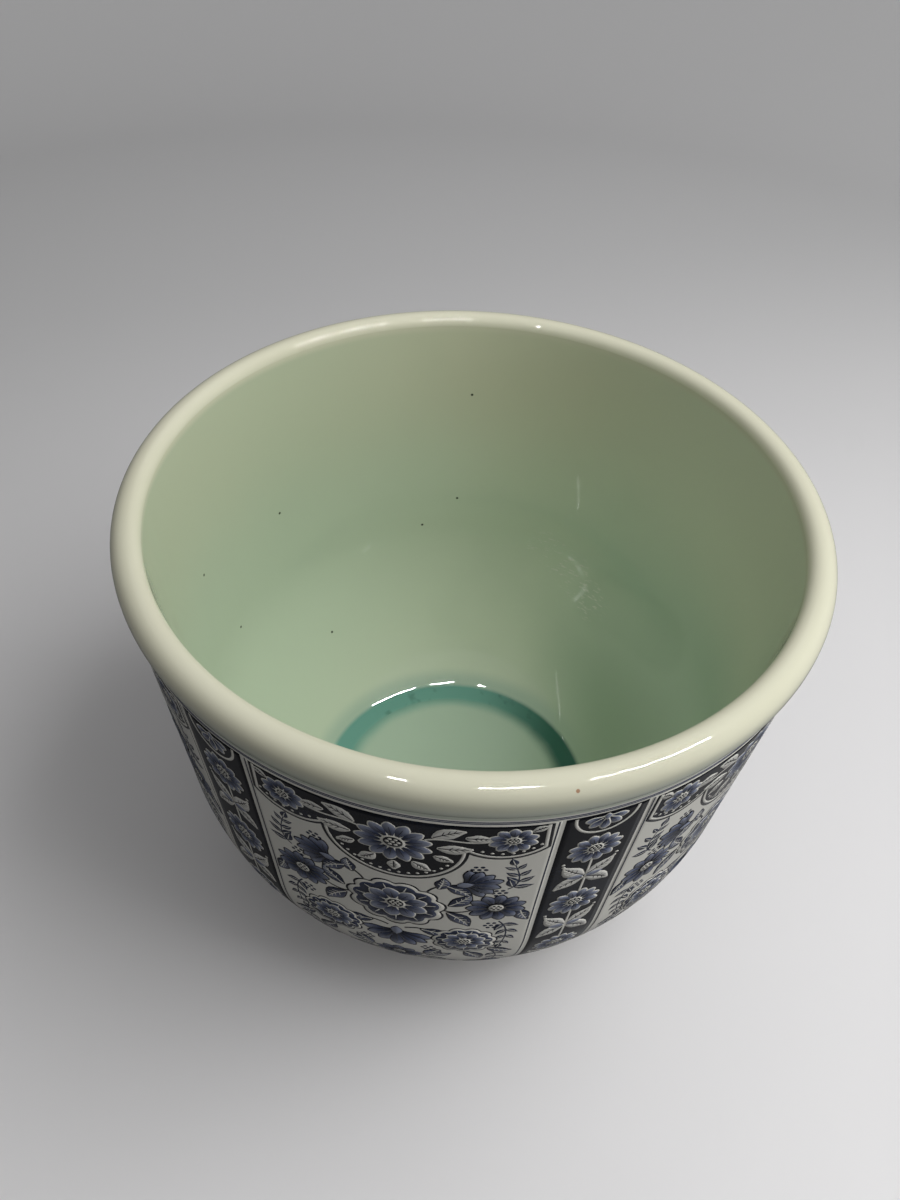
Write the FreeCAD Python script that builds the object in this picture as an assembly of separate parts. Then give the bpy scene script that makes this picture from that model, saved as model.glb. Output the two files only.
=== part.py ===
"""Glazed earthenware flower pot: a rolled rim, a tapered wall, a rounded belly and a foot ring.

The clay body is one solid. Each glaze coat and each set of printed sheets is a solid of its own that
lies face to face on what carries it. All profiles are lines and tangent arcs in the XZ half plane,
turned about the Z axis. The pot stands on z = 0, with its axis on Z and a wide panel facing -Y.
"""
import FreeCAD
import Part

import math
import os

# Overall form, mm and degrees
rim_diameter = 260.0  # across the widest line of the rolled rim, over its glaze
pot_height = 198.0  # from the ground to the rim's crest, over its glaze
wall_thickness = 8.2  # through the clay, square to the wall
wall_taper = 6.2  # lean of the upper wall from upright
belly_start = 89.0  # height where the straight wall turns into the belly
belly_radius = 118.0  # round of the belly's outside

# Rolled rim
rim_band = 16.6  # from the crest down to the neck, where the rim meets the wall
rim_overhang = 3.0  # widest line of the rim, out from the neck
neck_round = 8.0  # hollow fillet between the rim and the wall
lip_round = 4.0  # inner edge of the rim

# Floor and foot
base_thickness = 10.5  # clay between the floor and the recess under it
base_recess = 4.8  # depth of the recess inside the foot ring
foot_height = 6.5  # from the ground to the end of the belly
foot_inset = 1.6  # step in from the belly's end to the foot ring
foot_width = 9.0  # ring of clay that the pot stands on
foot_round = 1.8  # worn edges of the foot ring
floor_radius = 62.7  # where the inside of the belly ends on the floor
pool_width = 9.6  # shallow groove round the floor, in which glaze pools

# Glaze and print
glaze_coat = 0.5  # thickness of every glaze coat
print_film = 0.2  # thickness of the fired prints and of the lining
film_clearance = 0.1  # hairline between a film and the coat under it
glaze_stop = 2.0  # bare clay between the outer coat and the belly's end
panel_count = 6  # wide panels round the wall, with a strip between each two
strip_width = 27.5  # at the neck
gutter_width = 1.2  # bare line on each side of a strip, at the neck
lining_drop = 0.8  # from the neck down to the blue line
lining_width = 1.5
print_drop = 3.2  # from the neck down to the prints
print_foot = 22.0  # height of the prints' lower edge

# Points and rounds of the clay that follow from these
lean = math.radians(wall_taper)
lean_sin = math.sin(lean)
lean_cos = math.cos(lean)
lean_tan = math.tan(lean)
rim_radius = rim_diameter / 2 - glaze_coat
crest_height = pot_height - glaze_coat
neck_radius = rim_radius - rim_overhang
neck_height = crest_height - rim_band
floor_height = base_recess + base_thickness

# The lip is tangent to the inner wall, and its top is the crest of the rim.
lip_height = crest_height - lip_round * (1 - lean_sin)
lip_radius = neck_radius + (lip_height - neck_height) * lean_tan - wall_thickness / lean_cos
crest_radius = lip_radius + lip_round * lean_cos
lip_centre = (crest_radius, crest_height - lip_round)

# The shoulder is a quarter round from the crest to the widest line.
shoulder_round = rim_radius - crest_radius
shoulder_centre = (crest_radius, crest_height - shoulder_round)

# The flank is tangent to the shoulder and to the neck's fillet, which is tangent to the wall.
flank_drop = rim_band - shoulder_round
flank_shift = rim_overhang + neck_round * (1 - lean_cos)
flank_turn = 2 * math.atan2(flank_shift, flank_drop + neck_round * lean_sin)
neck_drop = neck_round * (math.sin(flank_turn) - lean_sin)
flank_round = (flank_drop - neck_drop) / math.sin(flank_turn)
flank_centre = (rim_radius - flank_round, shoulder_centre[1])
neck_centre = (neck_radius + neck_round * lean_cos, neck_height - neck_round * lean_sin)

# The belly's outside is an arc that is tangent to the wall.
belly_top = (neck_radius - (neck_height - belly_start) * lean_tan, belly_start)
belly_centre = (belly_top[0] - belly_radius * lean_cos, belly_top[1] + belly_radius * lean_sin)

# The belly's inside is tangent to the inner wall and passes through the floor's edge.
inner_top = (belly_top[0] - wall_thickness * lean_cos, belly_top[1] + wall_thickness * lean_sin)
inner_run = (inner_top[0] - floor_radius, inner_top[1] - floor_height)
inner_reach = inner_run[0] * lean_cos - inner_run[1] * lean_sin
inner_round = (inner_run[0] ** 2 + inner_run[1] ** 2) / (2 * inner_reach)
inner_centre = (inner_top[0] - inner_round * lean_cos, inner_top[1] + inner_round * lean_sin)

# The groove round the floor is an arc that is tangent to the belly's inside.
groove_turn = math.acos((inner_centre[1] - floor_height) / inner_round)
groove_round = pool_width / 2 / math.sin(groove_turn)
groove_middle = floor_radius - pool_width / 2
groove_centre = (groove_middle, floor_height + groove_round * math.cos(groove_turn))

AXIS_FOOT = FreeCAD.Vector(0, 0, 0)
AXIS = FreeCAD.Vector(0, 0, 1)
FRONT = -90.0  # direction of -Y, about the axis


def point(radius, height):
    """Point of the half plane in which the profiles are drawn."""
    return FreeCAD.Vector(radius, 0, height)


def on_arc(centre, radius, turn):
    """Point of a circle, at an angle above the level line through its centre."""
    return point(centre[0] + radius * math.cos(turn), centre[1] + radius * math.sin(turn))


def arc(centre, radius, start, end):
    """Arc between two angles."""
    turns = (start, (start + end) / 2, end)
    return Part.Arc(*[on_arc(centre, radius, turn) for turn in turns]).toShape()


def line(start, end):
    return Part.LineSegment(start, end).toShape()


def start_of(path):
    return path[0].valueAt(path[0].FirstParameter)


def end_of(path):
    return path[-1].valueAt(path[-1].LastParameter)


def belly_turn(height):
    """Angle of the belly's arc at a height on the clay."""
    return -math.asin((belly_centre[1] - height) / belly_radius)


def groove_path(raised):
    """Groove round the floor, raised from the clay, from its inner edge to the belly."""
    radius = groove_round - raised
    depth_to_floor = groove_centre[1] - floor_height - raised
    inner_edge = -math.pi + math.asin(depth_to_floor / radius)
    return [arc(groove_centre, radius, inner_edge, groove_turn - math.pi / 2)]


def inner_path(raised):
    """Inner face, raised from the clay, from the middle of the floor to the lip."""
    groove = groove_path(raised)
    belly = arc(inner_centre, inner_round - raised, groove_turn - math.pi / 2, -lean)
    lip = point(lip_radius - raised * lean_cos, lip_height + raised * lean_sin)
    floor = line(point(0, floor_height + raised), start_of(groove))
    return [floor, *groove, belly, line(end_of([belly]), lip)]


def rim_path(raised):
    """Rim, raised from the clay, from the lip over the crest to the neck."""
    flank_end = math.pi - flank_turn
    return [
        arc(lip_centre, lip_round + raised, math.pi - lean, math.pi / 2),
        arc(shoulder_centre, shoulder_round + raised, math.pi / 2, 0),
        arc(flank_centre, flank_round + raised, 0, -flank_turn),
        arc(neck_centre, neck_round - raised, flank_end, math.pi - lean),
    ]


def wall_point(drop, raised):
    """Point of the outer wall, a drop below the neck, raised from the clay."""
    radius = neck_radius - drop * lean_tan + raised * lean_cos
    return point(radius, neck_height - drop - raised * lean_sin)


def outer_path(raised, top_drop, end_height):
    """Outer face, raised from the clay, from a drop below the neck to a height on the belly."""
    belly = arc(belly_centre, belly_radius + raised, -lean, belly_turn(end_height))
    return [line(wall_point(top_drop, raised), start_of([belly])), belly]


def turned(edges, sweep=360.0):
    """Solid of a closed outline, turned about the axis."""
    face = Part.Face(Part.Wire(edges))
    return face.revolve(AXIS_FOOT, AXIS, sweep)


def layer(under, over, sweep=360.0):
    """Solid between two paths that run alongside each other."""
    start_cap = line(start_of(over), start_of(under))
    end_cap = line(end_of(under), end_of(over))
    return turned([*under, end_cap, *reversed(over), start_cap], sweep)


def foot_radii():
    """Outer and inner radius of the foot ring, which follows the belly's end."""
    belly_end = on_arc(belly_centre, belly_radius, belly_turn(foot_height)).x
    outer = belly_end - foot_inset
    return outer, outer - foot_width


def foot_path(belly_end):
    """Underside of the clay, from the belly's end round the foot ring to the axis."""
    outer, inner = foot_radii()
    outer_edge = arc((outer - foot_round, foot_round), foot_round, 0, -math.pi / 2)
    inner_edge = arc((inner + foot_round, foot_round), foot_round, -math.pi / 2, -math.pi)
    step = point(outer, foot_height)
    recess_corner = point(inner, base_recess)
    return [
        line(belly_end, step),
        line(step, start_of([outer_edge])),
        outer_edge,
        line(end_of([outer_edge]), start_of([inner_edge])),
        inner_edge,
        line(end_of([inner_edge]), recess_corner),
        line(recess_corner, point(0, base_recess)),
    ]


def pot_body():
    """Clay of the floor, wall, rim and foot ring, as one turned solid."""
    inside = inner_path(0)
    outside = outer_path(0, 0, foot_height)
    underside = foot_path(end_of(outside))
    core = line(end_of(underside), start_of(inside))
    return turned([*inside, *rim_path(0), *outside, *underside, core])


def inner_glaze():
    return layer(inner_path(0), inner_path(glaze_coat))


def glaze_pool():
    """Glaze that fills the coated groove up to the level of the coated floor."""
    bed = groove_path(glaze_coat)
    return turned([*bed, line(end_of(bed), start_of(bed))])


def rim_glaze():
    return layer(rim_path(0), rim_path(glaze_coat))


def outer_glaze():
    end_height = foot_height + glaze_stop
    return layer(outer_path(0, 0, end_height), outer_path(glaze_coat, 0, end_height))


def base_glaze():
    """Coat on the flat of the recess inside the foot ring."""
    recess_radius = foot_radii()[1]
    return Part.makeCylinder(recess_radius, glaze_coat, FreeCAD.Vector(0, 0, base_recess - glaze_coat))


def film_faces():
    """Heights of a film's under and upper face above the clay."""
    under = glaze_coat + film_clearance
    return under, under + print_film


def lining():
    """Blue line painted round the wall under the rim."""
    foot = lining_drop + lining_width
    faces = [[line(wall_point(lining_drop, face), wall_point(foot, face))] for face in film_faces()]
    return layer(*faces)


def transfers(middle, sweep):
    """Printed sheets on the outer coat, one to each pitch, with the first at an angle about the axis."""
    faces = [outer_path(face, print_drop, print_foot) for face in film_faces()]
    sheet = layer(*faces, sweep)
    sheets = []
    for number in range(panel_count):
        placed = sheet.copy()
        placed.rotate(AXIS_FOOT, AXIS, middle - sweep / 2 + number * 360.0 / panel_count)
        sheets.append(placed)
    return Part.makeCompound(sheets)


def panel_transfers():
    """Wide sheets, centred on the front, that leave room for a strip and its gutters."""
    between = math.degrees((strip_width + 2 * gutter_width) / neck_radius)
    return transfers(FRONT, 360.0 / panel_count - between)


def strip_transfers():
    """Narrow dark sheets, half a pitch round from the wide ones."""
    return transfers(FRONT + 180.0 / panel_count, math.degrees(strip_width / neck_radius))


PIECES = (
    pot_body,
    inner_glaze,
    glaze_pool,
    rim_glaze,
    outer_glaze,
    base_glaze,
    panel_transfers,
    strip_transfers,
    lining,
)


def main():
    os.makedirs("parts", exist_ok=True)
    for piece in PIECES:
        shape = piece()
        name = piece.__name__
        shape.exportStep("parts/" + name + ".step")
        print(name, "solids", len(shape.Solids), "valid", shape.isValid(), "mm3", round(shape.Volume, 1))


main()
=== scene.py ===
"""Looks of a glazed flower pot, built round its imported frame.

Every new shape is a numpy grid: a profile turned about the axis, or a flat drawing that is bent on to
the wall. Lengths are in metres. Drawings are in millimetres on the printed sheet, with x to the right
and y down the wall.
"""
import logging
import math
from collections.abc import Callable, Sequence
from dataclasses import dataclass, field
from enum import Enum
from functools import cached_property

import bpy
import numpy as np
from mathutils import Matrix, Vector


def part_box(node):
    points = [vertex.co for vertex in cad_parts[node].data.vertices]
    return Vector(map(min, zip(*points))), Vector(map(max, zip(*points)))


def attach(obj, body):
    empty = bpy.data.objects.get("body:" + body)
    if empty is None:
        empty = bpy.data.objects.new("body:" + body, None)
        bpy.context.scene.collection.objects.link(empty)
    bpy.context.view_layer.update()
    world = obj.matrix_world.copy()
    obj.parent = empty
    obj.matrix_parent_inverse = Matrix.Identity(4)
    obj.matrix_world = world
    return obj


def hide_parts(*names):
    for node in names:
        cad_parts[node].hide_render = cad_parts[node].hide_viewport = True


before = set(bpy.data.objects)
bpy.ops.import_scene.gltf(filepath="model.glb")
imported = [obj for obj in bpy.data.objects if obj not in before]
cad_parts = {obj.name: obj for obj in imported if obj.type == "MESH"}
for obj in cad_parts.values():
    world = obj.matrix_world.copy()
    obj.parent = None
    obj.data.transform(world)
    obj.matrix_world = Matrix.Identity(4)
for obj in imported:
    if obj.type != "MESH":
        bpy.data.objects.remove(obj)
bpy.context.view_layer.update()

LOG = logging.getLogger("flower_pot")
MM = 0.001
BODY = "root"
TONE = "tone"
BAKE_MAP = "OFBake"

SPOT_CORE = 0.35  # solid share of a soft spot's reach
SPECK_CORE = 0.4  # solid share of a speck's radius
GLAZE_ROUGHNESS = 0.015
GLAZE_WAVE = 0.03 * MM  # height of the waves in a glaze

Colour = tuple[float, float, float]
Point = tuple[float, float]
Place = tuple[float, float, float]

BARE_WHITE: Colour = (0.735, 0.725, 0.665)
FLOOR_GREEN: Colour = (0.410, 0.515, 0.405)
# Also laid on the inner wall as painted shade.
DEEP_GREEN: Colour = (0.310, 0.415, 0.285)


# Grids and meshes


@dataclass
class Shell:
    """A closed surface: corner places, and its four-sided and three-sided faces."""

    places: np.ndarray
    quads: np.ndarray
    triangles: np.ndarray = field(default_factory=lambda: np.empty((0, 3), int))

    def outward(self) -> "Shell":
        """Returns the shell with its faces turned outwards, judged by the sign of its volume."""
        corners = np.concatenate([self.quads[:, [0, 1, 2]], self.quads[:, [0, 2, 3]], self.triangles])
        a, b, c = (self.places[corners[:, k]] for k in range(3))
        if np.einsum("ij,ij->", a, np.cross(b, c)) < 0:
            return Shell(self.places, self.quads[:, ::-1], self.triangles[:, ::-1])
        return self


def grid_quads(rows: int, cols: int, loop_rows: bool = False, loop_cols: bool = False) -> np.ndarray:
    """Numbers the corners of each face of a grid that is stored row by row.

    Args:
        rows: how many rows of corners the grid has.
        cols: how many corners are in a row.
        loop_rows: whether the last row joins the first.
        loop_cols: whether a row's last corner joins its first.

    Returns:
        One line of four corner numbers to a face.
    """
    row = np.arange(rows if loop_rows else rows - 1)[:, None]
    col = np.arange(cols if loop_cols else cols - 1)[None, :]
    below, right = (row + 1) % rows, (col + 1) % cols
    corners = [row * cols + col, row * cols + right, below * cols + right, below * cols + col]
    return np.stack(np.broadcast_arrays(*corners), -1).reshape(-1, 4)


def arc(centre: Point, radius: float, start: float, end: float, count: int) -> np.ndarray:
    """Places points on a circle between two angles: the centre plus the radius times (cos, sin)."""
    turn = np.linspace(start, end, count)
    return np.stack([centre[0] + radius * np.cos(turn), centre[1] + radius * np.sin(turn)], -1)


def joined(*paths: np.ndarray) -> np.ndarray:
    """Joins paths end to end, without the first point of each later one."""
    return np.concatenate([paths[0], *[path[1:] for path in paths[1:]]])


def turned(profile: np.ndarray, looped: bool, segments: int = 256) -> Shell:
    """Turns a profile about the axis: (radius cos turn, radius sin turn, height).

    Args:
        profile: radius and height of each point.
        looped: whether the profile closes on itself. Otherwise both its ends lie on the axis.
        segments: how many steps go round the axis.

    Returns:
        The closed shell.
    """
    rings = profile if looped else profile[1:-1]
    turn = np.linspace(0, 2 * math.pi, segments, endpoint=False)[None, :]
    radius, height = rings[:, 0, None], rings[:, 1, None]
    grid = np.stack(np.broadcast_arrays(radius * np.cos(turn), radius * np.sin(turn), height), -1)
    places = grid.reshape(-1, 3)
    quads = grid_quads(len(rings), segments, looped, True)
    if looped:
        return Shell(places, quads).outward()
    ends = np.array([[0, 0, profile[0, 1]], [0, 0, profile[-1, 1]]])
    first, last = len(places), len(places) + 1
    near = np.arange(segments)
    following = (near + 1) % segments
    base = (len(rings) - 1) * segments
    start_fan = np.stack([np.full(segments, first), following, near], -1)
    end_fan = np.stack([np.full(segments, last), base + near, base + following], -1)
    return Shell(np.concatenate([places, ends]), quads, np.concatenate([start_fan, end_fan])).outward()


def fill_mesh(name: str, shell: Shell, smooth: np.ndarray | None = None) -> bpy.types.Mesh:
    """Puts a shell into a new mesh.

    Args:
        name: name of the mesh.
        shell: the surface.
        smooth: which of its faces are smooth, if not all.

    Returns:
        The mesh.
    """
    mesh = bpy.data.meshes.new(name)
    corners = np.concatenate([shell.quads.ravel(), shell.triangles.ravel()])
    four, three = len(shell.quads), len(shell.triangles)
    starts = np.concatenate([np.arange(four) * 4, four * 4 + np.arange(three) * 3])
    mesh.vertices.add(len(shell.places))
    mesh.vertices.foreach_set("co", shell.places.astype(np.float32).ravel())
    mesh.loops.add(len(corners))
    mesh.loops.foreach_set("vertex_index", corners.astype(np.int32))
    mesh.polygons.add(len(starts))
    mesh.polygons.foreach_set("loop_start", starts.astype(np.int32))
    mesh.polygons.foreach_set("use_smooth", np.ones(len(starts), bool) if smooth is None else smooth)
    mesh.update(calc_edges=True)
    mesh.validate()
    return mesh


def show(mesh: bpy.types.Mesh, material: bpy.types.Material) -> bpy.types.Object:
    """Links a mesh into the scene as an object at the origin, with one material."""
    piece = bpy.data.objects.new(mesh.name, mesh)
    bpy.context.scene.collection.objects.link(piece)
    mesh.materials.append(material)
    return piece


def seat(piece: bpy.types.Object, node: str) -> bpy.types.Object:
    """Rides a piece on the pot in place of a node."""
    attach(piece, BODY)
    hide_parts(node)
    LOG.info("%s: %d faces, in place of %s", piece.name, len(piece.data.polygons), node)
    return piece


# The pot's form


@dataclass(frozen=True)
class PotForm:
    """Profiles of the pot in the half plane of its axis, as lines and tangent arcs."""

    rim_radius: float
    crest_height: float
    floor_height: float
    coat: float = 0.5 * MM
    wall: float = 8.2 * MM
    lean: float = math.radians(6.2)
    belly_start: float = 89 * MM
    belly_radius: float = 118 * MM
    rim_band: float = 16.6 * MM
    rim_overhang: float = 3 * MM
    neck_round: float = 8 * MM
    lip_round: float = 4 * MM
    floor_radius: float = 62.7 * MM
    pool_width: float = 9.6 * MM
    base_recess: float = 4.8 * MM
    foot_height: float = 6.5 * MM
    foot_inset: float = 1.6 * MM
    foot_width: float = 9 * MM
    foot_round: float = 1.8 * MM
    glaze_stop: float = 2 * MM
    floor_points: int = 14
    groove_points: int = 14
    belly_points: int = 56
    wall_points: int = 24
    lip_points: int = 14
    shoulder_points: int = 20
    flank_points: int = 18
    neck_points: int = 10
    outer_points: int = 80
    foot_points: int = 8

    @classmethod
    def from_frame(cls) -> "PotForm":
        """Returns the form with its rim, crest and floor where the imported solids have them."""
        clay_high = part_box("pot_body")[1]
        pool_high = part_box("glaze_pool")[1]
        return cls(rim_radius=clay_high.x, crest_height=clay_high.z, floor_height=pool_high.z - cls.coat)

    @property
    def neck(self) -> Point:
        """Where the rim meets the wall."""
        return self.rim_radius - self.rim_overhang, self.crest_height - self.rim_band

    @property
    def lip(self) -> Point:
        """Where the inner wall meets the lip's round."""
        height = self.crest_height - self.lip_round * (1 - math.sin(self.lean))
        outer = self.neck[0] + (height - self.neck[1]) * math.tan(self.lean)
        return outer - self.wall / math.cos(self.lean), height

    @property
    def belly_top(self) -> Point:
        """Where the straight wall turns into the belly."""
        drop = self.neck[1] - self.belly_start
        return self.neck[0] - drop * math.tan(self.lean), self.belly_start

    @property
    def belly_centre(self) -> Point:
        """Centre of the belly's outer round."""
        return self.beside(self.belly_top, -self.belly_radius)

    @property
    def straight_run(self) -> float:
        """Length of the straight wall, from the neck to the belly."""
        return (self.neck[1] - self.belly_start) / math.cos(self.lean)

    def beside(self, start: Point, distance: float) -> Point:
        """Moves a point square to the leaning wall, outwards where the distance is above zero."""
        return start[0] + distance * math.cos(self.lean), start[1] - distance * math.sin(self.lean)

    @cached_property
    def inner_belly(self) -> tuple[Point, float]:
        """Centre and radius of the inner round: tangent to the inner wall, through the floor's edge."""
        top = self.beside(self.belly_top, -self.wall)
        across, down = top[0] - self.floor_radius, top[1] - self.floor_height
        reach = across * math.cos(self.lean) - down * math.sin(self.lean)
        radius = (across**2 + down**2) / (2 * reach)
        return self.beside(top, -radius), radius

    @cached_property
    def groove(self) -> tuple[Point, float, float]:
        """Centre, radius and half turn of the groove round the floor, tangent to the inner belly."""
        centre, radius = self.inner_belly
        turn = math.acos((centre[1] - self.floor_height) / radius)
        own = self.pool_width / 2 / math.sin(turn)
        middle = self.floor_radius - self.pool_width / 2
        return (middle, self.floor_height + own * math.cos(turn)), own, turn

    def run_to(self, height: float) -> float:
        """Distance down the outer wall, from the neck, to a height on the belly."""
        turn = math.asin((self.belly_centre[1] - height) / self.belly_radius)
        return self.straight_run + (turn - self.lean) * self.belly_radius

    def on_wall(self, run: np.ndarray, raised: np.ndarray | float) -> tuple[np.ndarray, np.ndarray]:
        """Finds points of the outer wall: a leaning line, and then the belly's arc.

        Args:
            run: distance down the wall from the neck.
            raised: distance out from the clay, square to it.

        Returns:
            Radius and height of each point.
        """
        turn = self.lean + np.maximum(run - self.straight_run, 0) / self.belly_radius
        short = np.maximum(self.straight_run - run, 0)
        reach = self.belly_radius + raised
        radius = self.belly_centre[0] + reach * np.cos(turn) + short * math.sin(self.lean)
        height = self.belly_centre[1] - reach * np.sin(turn) + short * math.cos(self.lean)
        return radius, height

    def groove_path(self, raised: float) -> np.ndarray:
        """Groove round the floor, raised from the clay, from its inner edge to the belly."""
        centre, radius, turn = self.groove
        down = centre[1] - self.floor_height - raised
        start = -math.pi + math.asin(down / (radius - raised))
        return arc(centre, radius - raised, start, turn - math.pi / 2, self.groove_points)

    def inner_path(self, raised: float) -> np.ndarray:
        """Inner face, raised from the clay, from the middle of the floor to the lip."""
        groove = self.groove_path(raised)
        centre, radius = self.inner_belly
        start = self.groove[2] - math.pi / 2
        belly = arc(centre, radius - raised, start, -self.lean, self.belly_points)
        floor = np.linspace((0, self.floor_height + raised), groove[0], self.floor_points)
        wall = np.linspace(belly[-1], self.beside(self.lip, -raised), self.wall_points)
        return joined(floor, groove, belly, wall)

    def rim_path(self, raised: float) -> np.ndarray:
        """Rim, raised from the clay, from the lip over the crest and the flank to the neck."""
        crest = self.lip[0] + self.lip_round * math.cos(self.lean)
        shoulder = self.rim_radius - crest
        widest = self.crest_height - shoulder
        shift = self.rim_overhang + self.neck_round * (1 - math.cos(self.lean))
        drop = self.rim_band - shoulder
        turn = 2 * math.atan2(shift, drop + self.neck_round * math.sin(self.lean))
        neck_drop = self.neck_round * (math.sin(turn) - math.sin(self.lean))
        flank = (drop - neck_drop) / math.sin(turn)
        lip_centre = (crest, self.crest_height - self.lip_round)
        flank_centre = (self.rim_radius - flank, widest)
        neck_centre = self.beside(self.neck, self.neck_round)
        half, quarter = math.pi, math.pi / 2
        return joined(
            arc(lip_centre, self.lip_round + raised, half - self.lean, quarter, self.lip_points),
            arc((crest, widest), shoulder + raised, quarter, 0, self.shoulder_points),
            arc(flank_centre, flank + raised, 0, -turn, self.flank_points),
            arc(neck_centre, self.neck_round - raised, half - turn, half - self.lean, self.neck_points),
        )

    def outer_path(self, raised: float, end_height: float) -> np.ndarray:
        """Outer face, raised from the clay, from the neck to a height on the belly."""
        run = np.linspace(0, self.run_to(end_height), self.outer_points)
        return np.stack(self.on_wall(run, raised), -1)

    def foot_path(self) -> np.ndarray:
        """Underside of the clay, from the foot ring's top to the axis."""
        edge, flat = self.foot_round, self.base_recess
        outer = self.on_wall(np.array([self.run_to(self.foot_height)]), 0.0)[0][0] - self.foot_inset
        inner = outer - self.foot_width
        quarter = math.pi / 2
        return joined(
            np.array([(outer, self.foot_height), (outer, edge)]),
            arc((outer - edge, edge), edge, 0, -quarter, self.foot_points),
            arc((inner + edge, edge), edge, -quarter, -2 * quarter, self.foot_points),
            np.array([(inner, edge), (inner, flat), (0, flat)]),
        )

    @property
    def recess_radius(self) -> float:
        """Inner radius of the foot ring."""
        return float(self.foot_path()[-2][0])


# Shader graphs


class Value:
    """A socket that holds a number or a colour. Arithmetic on a number adds Math nodes."""

    def __init__(self, graph: "Graph", socket: bpy.types.NodeSocket) -> None:
        self.graph = graph
        self.socket = socket

    def _math(self, operation: str, *operands: "Value | float") -> "Value":
        """Adds one Math node."""
        return self.graph.value("ShaderNodeMath", {"operation": operation}, dict(enumerate(operands)))

    def __add__(self, other: "Value | float") -> "Value":
        """Sum."""
        return self._math("ADD", self, other)

    __radd__ = __add__

    def __mul__(self, other: "Value | float") -> "Value":
        """Product."""
        return self._math("MULTIPLY", self, other)

    __rmul__ = __mul__

    def __sub__(self, other: "Value | float") -> "Value":
        """Difference."""
        return self._math("SUBTRACT", self, other)

    def __rsub__(self, other: float) -> "Value":
        """Difference from a number."""
        return self._math("SUBTRACT", other, self)

    def __pow__(self, power: float) -> "Value":
        """Power."""
        return self._math("POWER", self, power)

    def above(self, edge: float) -> "Value":
        """1 where the number is over the edge, and else 0."""
        return self._math("GREATER_THAN", self, edge)

    def ease(self, low: float, high: float) -> "Value":
        """Smooth step from 0 at low to 1 at high, which may be the lower number."""
        settings = {"interpolation_type": "SMOOTHSTEP"}
        inputs = {"Value": self, "From Min": low, "From Max": high}
        if low > high:
            inputs = {"Value": self, "From Min": high, "From Max": low, "To Min": 1.0, "To Max": 0.0}
        return self.graph.value("ShaderNodeMapRange", settings, inputs)


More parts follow.
